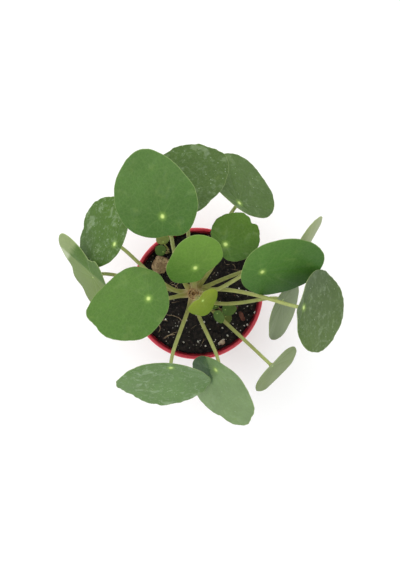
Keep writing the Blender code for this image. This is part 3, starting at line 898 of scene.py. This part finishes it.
def crumb_height(x, y):
    """Rounded crumbs of three sizes, in metres, about level on the whole."""
    out = 0.0
    for cell, tall, shift in ((4.2, 1.5, 0.0), (2.1, 0.9, 7.3), (1.0, 0.45, 3.1)):
        spot = Vector((x, y, 0)) / (cell * MM) + Vector((shift, shift * 2, shift))
        near = noise.voronoi(spot)[0][0]
        out += tall * (sqrt(max(0.0, 0.62 - near * near)) - 0.45)
    out += 0.5 * noise.noise(Vector((x, y, 0.5)) * 160)
    return out * MM


def on_crumbs(ground, x, y):
    return ground(x, y) + max(0.0, crumb_height(x, y))


def soil(ground):
    """Crumbly bed over the CAD soil, filling the pot down to its floor."""
    low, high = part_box("soil")
    edge = (high.x - low.x) / 2 - 0.0001
    turns = around(SOIL_SIDES)
    points = []
    for row in range(1, SOIL_ROWS + 1):
        radius = edge * (row / SOIL_ROWS)
        rim = min(1.0, (edge - radius) / (2 * MM))
        for turn in turns:
            x, y = polar(radius, turn)
            crumbs = crumb_height(x, y) * (0.35 + 0.65 * rim)
            points.append((x, y, ground(x, y) + crumbs - SOIL_EDGE_DROP * (1 - rim)))
    stepped, narrow = COLLAR_FOOT + 2 * POT_WALL, COLLAR_FOOT + POT_WALL
    under = [
        (edge, POT_TOP - SOIL_SKIRT), (bore(stepped, COLLAR_STEP) - SOIL_GAP, stepped + SOIL_GAP),
        (bore(COLLAR_FOOT) - SOIL_GAP, narrow + SOIL_GAP), (bore(FLOOR) - SOIL_GAP, FLOOR + SOIL_GAP),
        (0.020, FLOOR + SOIL_GAP),
    ]
    for radius, z in under:
        points += [(*polar(radius, turn), z) for turn in turns]
    total = SOIL_ROWS + len(under)
    points += [(0, 0, ground(0, 0) + crumb_height(0, 0)), (0, 0, FLOOR + SOIL_GAP)]
    bed = Shape().add(points, closed_faces(total, SOIL_SIDES))
    bed.build("soil_bed", [peat_skin("peat_bed")], "peat", ["soil"])


def lump(size, seed, rough=0.28, steps=2, stretch=(1, 1, 0.8), pits=0.0):
    """An irregular grain about the origin."""
    skin = bmesh.new()
    bmesh.ops.create_icosphere(skin, subdivisions=steps, radius=0.5)
    shift = Vector((seed * 1.7, seed * 0.9, -seed * 1.3))
    for corner in skin.verts:
        out = corner.co.normalized()
        swell = noise.noise(out * 1.3 + shift) + 0.45 * noise.noise(out * 3.1 + shift)
        reach = 1 + rough * swell
        if pits:
            near = noise.voronoi(out * 2.6 + shift)[0][0]
            reach -= pits * max(0.0, 1 - near / 0.30) + 0.4 * pits * noise.noise(out * 9 + shift)
        corner.co = Vector(a * b * size for a, b in zip(out * 0.5 * reach, stretch))
    points = np.array([v.co for v in skin.verts])
    faces = [tuple(v.index for v in face.verts) for face in skin.faces]
    skin.free()
    return points, faces


def turned(points, draw):
    """The points turned and tilted by chance."""
    spin = Matrix.Rotation(draw.uniform(0, tau), 3, "Z") @ Matrix.Rotation(draw.uniform(-0.6, 0.6), 3, "X")
    return points @ np.array(spin).T


def scatter(ground, name, count, sizes, draw, made_of, slot, sink=0.3, stretch=None, steps=2, places=()):
    """Grains lying on the soil, clear of the rim."""
    shape = Shape()
    reach = (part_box("soil")[1].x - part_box("soil")[0].x) / 2
    spots = list(places)
    while len(spots) < count:
        radius, turn = sqrt(draw.random()) * (reach - 2.5 * MM), draw.uniform(0, tau)
        size = sizes[0] + (sizes[1] - sizes[0]) * draw.random() ** 2.2
        x, y = polar(radius, turn)
        spots.append((x / MM, y / MM, size))
    for x, y, size in spots:
        x, y = x * MM, y * MM
        form = stretch or (1, draw.uniform(0.6, 1.0), draw.uniform(0.5, 0.85))
        points, faces = lump(size * MM, draw.uniform(0, 90), 0.45, steps, form)
        points = turned(points, draw)
        lift = on_crumbs(ground, x, y) - points[:, 2].min() - size * MM * sink
        shape.add(points + np.array([x, y, lift]), faces)
    return shape.build(name, [made_of], slot)


# The larger perlite grains: x, y and size in millimetres.
PERLITE = (
    (20.5, -46.2, 3.0), (24.3, -42.5, 2.2), (28, -38.8, 1.9), (53.3, -17.6, 2.4), (46.4, -29.1, 2.2),
    (16.5, -22.2, 2.0), (18.8, -26.8, 1.7), (23.4, -31.9, 1.8), (6.4, -26.4, 2.2), (2.7, -42.9, 1.8),
    (7.8, -48.5, 1.8), (38.6, 4.5, 1.6), (-12.5, -45, 1.8), (-29, -24, 2.0), (-26, -35.5, 1.6),
    (33, -28, 1.5), (12, -33, 1.3), (40, -34, 1.5), (-18, -30, 1.3), (28, 6, 1.6), (34, 2, 1.4),
    (9, 22, 1.5), (30, 36, 1.8), (-6, 46, 1.6),
)


# The longer fibres' starts: x and y in millimetres, and the way they set off, in radians.
LONG_FIBRES = (
    (-36, -36, 0.3), (-27, -26, 2.2), (-30, -42, 1.1), (-20, -38, 2.9), (-40, -20, 0.9), (-14, -26, 1.9),
    (-24, 8, 0.2), (-20, 5, 1.4), (-15, 10, 2.6),
)


def fibres(ground, draw):
    """Dry root ends and straw lying on the soil."""
    shape = Shape()
    starts = list(LONG_FIBRES)
    while len(starts) < 32:
        x, y = polar(sqrt(draw.random()) * 46, draw.uniform(0, tau))
        starts.append((x, y, draw.uniform(0, tau)))
    for order, (x, y, way) in enumerate(starts):
        long = order < len(LONG_FIBRES)
        length, bend = draw.uniform(9, 20) if long else draw.uniform(4, 12), draw.uniform(-0.16, 0.16)
        path, x, y = [], x * MM, y * MM
        for _ in range(int(length / 0.5)):
            way += bend + draw.uniform(-0.12, 0.12)
            x, y = x + cos(way) * 0.5 * MM, y + sin(way) * 0.5 * MM
            if hypot(x, y) > FIBRE_REACH:
                break
            path.append((x, y, on_crumbs(ground, x, y) + draw.uniform(0.1, 0.5) * MM))
        if len(path) < 6:
            continue
        path = np.array(path)
        for _ in range(3):
            path[1:-1] = (path[:-2] + path[1:-1] * 2 + path[2:]) / 4
        wide = (0.38 if long else draw.uniform(0.14, 0.28)) * MM
        radii = wide * (1 - 0.75 * np.linspace(0, 1, len(path)) ** 2)
        shape.add(*sweep(path, radii, 6, 0.05))
    straw = woody_skin("dry_fibre", (112, 92, 68), (196, 174, 142), 700.0)
    return shape.build("root_fibres", [straw], "peat")


def soil_bits(ground):
    """Crumbs, perlite, chips and fibres on the soil, and the crumb that lies on the rim."""
    draw = Random(23)
    dark = peat_skin("peat_crumb", 1.15)
    scatter(ground, "peat_crumbs_coarse", 150, (2.0, 4.6), draw, dark, "peat", 0.45)
    scatter(ground, "peat_crumbs_fine", 520, (0.8, 2.0), draw, dark, "peat", 0.30, steps=1)
    white = grain_skin("perlite", (196, 192, 182), (242, 240, 234), 0.25, 1500.0)
    scatter(ground, "perlite_grains", 84, (0.7, 2.2), draw, white, "peat", 0.20, places=PERLITE)
    chips = woody_skin("soil_chip", (58, 34, 26), (120, 78, 60), 420.0)
    scatter(ground, "soil_chips", 46, (1.2, 4.2), draw, chips, "bark", 0.2, stretch=(1, 0.32, 0.16))
    fibres(ground, draw)
    points, faces = lump(3.4 * MM, 5.0, 0.4, 3)
    turn, reach = atan2(RIM_CRUMB_Y, RIM_CRUMB_X), POT_RIM - 0.0026
    spot = np.array([*polar(reach, turn), POT_TOP - points[:, 2].min() - 0.0002])
    Shape().add(points + spot, faces).build("crumb_on_rim", [dark], "peat")


def stones():
    """The porous chunk, the pebble and the two chips of bark, in their CAD places."""
    pumice = grain_skin("pumice_skin", (134, 108, 78), (206, 178, 140), 0.9, 560.0)
    pebble = grain_skin("pebble_skin", (150, 128, 106), (196, 178, 156), 0.2, 500.0, 0.7)
    bark = woody_skin("bark_skin", (64, 34, 28), (128, 76, 62), 320.0, (1.0, 0.4, 1.0), 0.85)
    rows = (
        ("pumice_chunk", pumice, "pumice", 5, 0.26, 0.20), ("pebble", pebble, "pumice", 4, 0.12, 0.0),
        ("bark_chip_1", bark, "bark", 4, 0.20, 0.07), ("bark_chip_2", bark, "bark", 4, 0.20, 0.07),
    )
    for order, (node, made_of, slot, steps, rough, pits) in enumerate(rows):
        mesh = frame["nodes"][node].data
        corners = np.array([v.co for v in mesh.vertices])
        middle = Vector((corners.min(0) + corners.max(0)) / 2)
        points, faces = lump(1.0, 11.0 + 3 * order, rough, steps, (1, 1, 1), pits)
        tree = tree_of(mesh)
        out = []
        for point in points:
            way = Vector(point).normalized()
            hit = tree.ray_cast(middle + way * 0.05, -way)[0]
            reach = (hit - middle).length if hit else 0.002
            scale = np.linalg.norm(point) / 0.5
            out.append(list(middle + way * reach * min(1.06, 0.98 * scale)))
        Shape().add(np.array(out), faces).build(node + "_rough", [made_of], slot, [node])


# ======== stem
def stem():
    """Corky stem with its rings of leaf scars, then its bud and the scales of its leaves."""
    low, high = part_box("stem")
    x, y = (low.x + high.x) / 2, (low.y + high.y) / 2
    ground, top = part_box("soil")[1].z - 0.003, high.z - 0.0015
    wide, narrow = (high.x - low.x) / 2, 0.0040
    rows, sides = 84, 44
    points = []
    for row in range(rows):
        share = row / (rows - 1)
        z = ground + (top - ground) * share
        base = wide + (narrow - wide) * share
        if share > 0.93:
            base *= sqrt(max(0.02, 1 - ((share - 0.93) / 0.075) ** 2))
        ring = 0.30 * MM * sin(share * tau * 11) + 0.22 * MM * noise.noise(Vector((0, 0, z * 900)))
        for side in range(sides):
            turn = tau * side / sides
            spot = Vector((cos(turn) * 2.2, sin(turn) * 2.2, z * 260))
            radius = base * (0.93 + 0.10 * noise.noise(spot)) + ring * 0.8
            points.append((x + radius * cos(turn), y + radius * sin(turn), z))
    points += [(x, y, ground), (x, y, top + 0.0002)]
    bark = woody_skin("stem_cork", (112, 86, 56), (186, 154, 108), 260.0, (1.0, 1.0, 2.4), 0.75)
    Shape().add(points, closed_faces(rows, sides)).build("stem_cork_body", [bark], "stem_bark", ["stem"])
    bud(x, y, high.z)
    scales(x, y)


def sheet(rows_of_points, thick):
    """Closed thin shell over a grid of points."""
    grid = np.array(rows_of_points)
    rows, columns = grid.shape[:2]
    down, over = np.gradient(grid, axis=0), np.gradient(grid, axis=1)
    facing = unit(np.cross(down, over) + 1e-12)
    back = grid - facing * thick
    points = np.concatenate([grid.reshape(-1, 3), back.reshape(-1, 3)])
    front_faces = grid_faces(rows, columns, 0, False)
    count = rows * columns
    back_faces = [tuple(reversed([v + count for v in face])) for face in front_faces]
    edge = [(0, c) for c in range(columns)] + [(r, columns - 1) for r in range(1, rows)]
    edge += [(rows - 1, c) for c in range(columns - 2, -1, -1)] + [(r, 0) for r in range(rows - 2, 0, -1)]
    ids = [r * columns + c for r, c in edge]
    rim = [(a, b, b + count, a + count) for a, b in zip(ids, ids[1:] + ids[:1])]
    return points, front_faces + back_faces + rim


# Rolled scales of the bud: start in radians, turns, radius at both ends, foot and top, in millimetres.
BUD_SCALES = (
    (0.4, 1.30, 1.30, 2.30, -6.0, 0.9), (3.3, 0.95, 2.7, 3.5, -7.5, 0.0), (1.7, 0.80, 3.7, 4.6, -9.0, -1.6),
)
BUD_POINT = ((0, -6), (0.85, -5.8), (1.05, -3.5), (0.95, -1.4), (0.6, -0.2), (0.25, 0.5), (0, 0.8))


def bud(x, y, top):
    """The bud: brown scales rolled round a small point."""
    papery = woody_skin("bud_scale", (176, 134, 82), (240, 208, 156), 380.0, (1.0, 1.0, 0.3), 0.6)
    shape = Shape()
    for start, turns, inner, outer, low, tall in BUD_SCALES:
        grid = []
        for row in range(9):
            up = row / 8
            line = []
            for column in range(40):
                share = column / 39
                turn = start + tau * turns * share
                radius = (inner + (outer - inner) * share) * (1 + 0.25 * up * up - 0.12 * up) * MM
                z = low + (tall - low) * up * (0.75 + 0.25 * sin(pi * share) ** 0.5)
                line.append((x + radius * cos(turn), y + radius * sin(turn), top + z * MM))
            grid.append(line)
        shape.add(*sheet(grid, 0.46 * MM))
    shape.build("bud_scales", [papery], "stem_bark")
    profile = [(r * MM, z * MM) for r, z in rounded(list(BUD_POINT), 1.2)]
    points, faces = lathe(profile, 20)
    tip = woody_skin("bud_point", (120, 88, 44), (172, 136, 80), 300.0, (1, 1, 0.3), 0.5)
    Shape().add(points + np.array([x, y, top]), faces).build("bud_point", [tip], "stem_bark")


def scales(x, y):
    """Dry brown scales in the angle of each leaf stalk."""
    shape = Shape()
    draw = Random(5)
    up = np.array([0, 0, 1.0])
    for number in LOOKS:
        foot = CadLeaf(f"leaf_{number:02d}").path[0]
        out = unit(np.array([foot[0] - x, foot[1] - y, 0.0]))
        side = np.cross(up, out)
        length, wide = draw.uniform(4.5, 6.5) * MM, draw.uniform(2.6, 3.4) * MM
        open_angle = draw.uniform(0.55, 0.95)
        grid = []
        for row in range(9):
            t = row / 8
            bend = open_angle + 0.5 * t
            rise = up * cos(bend) + out * sin(bend)
            middle = foot - out * 0.5 * MM + up * 1.9 * MM + rise * length * t
            half = wide * 0.5 * (1 - t ** 1.7) + 0.05 * MM
            across = [column / 3 - 1 for column in range(7)]
            grid.append([middle + side * half * s - out * half * 0.45 * s * s for s in across])
        shape.add(*sheet(grid, 0.22 * MM))
    papery = woody_skin("stalk_scale", (154, 124, 84), (224, 194, 148), 420.0, (1.0, 1.0, 0.3), 0.65)
    shape.build("stalk_scales", [papery], "stem_bark")


def young_stems():
    """The two plantlets' short stems, slightly ringed."""
    soft = woody_skin("young_stem", (92, 74, 44), (128, 124, 70), 380.0, (1, 1, 0.3), 0.55)
    for number in (1, 2):
        node = f"plantlet_{number}_stem"
        low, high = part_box(node)
        x, y, wide = (low.x + high.x) / 2, (low.y + high.y) / 2, (high.x - low.x) / 2
        bottom = max(low.z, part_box("soil")[1].z - 0.004)
        profile = [(0, bottom)]
        for step in range(13):
            share = step / 12
            swell = 0.06 * sin(share * tau * 4)
            profile.append((wide * (0.98 - 0.25 * share + swell), bottom + (high.z - bottom) * 0.93 * share))
        profile += [(wide * 0.45, high.z - 0.0003), (0, high.z)]
        points, faces = lathe(rounded(profile, 0.0006, 2), 24)
        points = points + np.array([x, y, 0])
        Shape().add(points, faces).build(f"young_stem_{number}", [soft], "young_green", [node])


# ======== studio
def studio():
    """Camera straight above the rim, a pale floor, an even sky and two broad lamps."""
    scene = bpy.context.scene
    lens = bpy.data.cameras.new("camera")
    lens.sensor_fit = "HORIZONTAL"
    lens.sensor_width = SENSOR
    lens.lens = SENSOR * CAMERA_ABOVE_RIM / VIEW_WIDTH_AT_RIM
    lens.clip_start, lens.clip_end = 0.01, 20
    camera = bpy.data.objects.new("camera", lens)
    camera.location = (CAMERA_X, CAMERA_Y, POT_TOP + CAMERA_ABOVE_RIM)
    scene.collection.objects.link(camera)
    scene.camera = camera

    plane = bpy.data.meshes.new("floor")
    corners = [(-1, -1), (1, -1), (1, 1), (-1, 1)]
    plane.from_pydata([(x * FLOOR_HALF, y * FLOOR_HALF, 0) for x, y in corners], [], [(0, 1, 2, 3)])
    floor = bpy.data.objects.new("floor", plane)
    plane.materials.append(floor_skin())
    scene.collection.objects.link(floor)
    floor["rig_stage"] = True

    world = bpy.data.worlds.new("studio")
    world.use_nodes = True
    sky = world.node_tree.nodes["Background"]
    sky.inputs["Color"].default_value = (1.0, 1.0, 1.0, 1.0)
    sky.inputs["Strength"].default_value = SKY_STRENGTH
    scene.world = world
    for name, (place, power) in LAMPS.items():
        lamp = bpy.data.lights.new(name, "AREA")
        lamp.size, lamp.energy = LAMP_SIZE, power
        light = bpy.data.objects.new(name, lamp)
        light.location = place
        aim = Vector((0, 0, LAMP_AIM_HEIGHT)) - Vector(place)
        light.rotation_euler = aim.to_track_quat("-Z", "Y").to_euler()
        scene.collection.objects.link(light)
    scene.view_settings.view_transform = "Standard"


def keep_inside():
    """The looks stay inside the CAD box: a point past it is set on it."""
    low, high = (np.array(corner) for corner in CAD_BOX)
    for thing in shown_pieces():
        if thing.type == "MESH" and "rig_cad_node" not in thing:
            points = np.zeros(len(thing.data.vertices) * 3, np.float32)
            thing.data.vertices.foreach_get("co", points)
            points = np.clip(points.reshape(-1, 3), low + BOX_MARGIN, high - BOX_MARGIN)
            thing.data.vertices.foreach_set("co", points.ravel())
            thing.data.update()


soil_surface = surface_of("soil")
leaves()
pot()
soil(soil_surface)
soil_bits(soil_surface)
stones()
stem()
young_stems()
studio()
keep_inside()
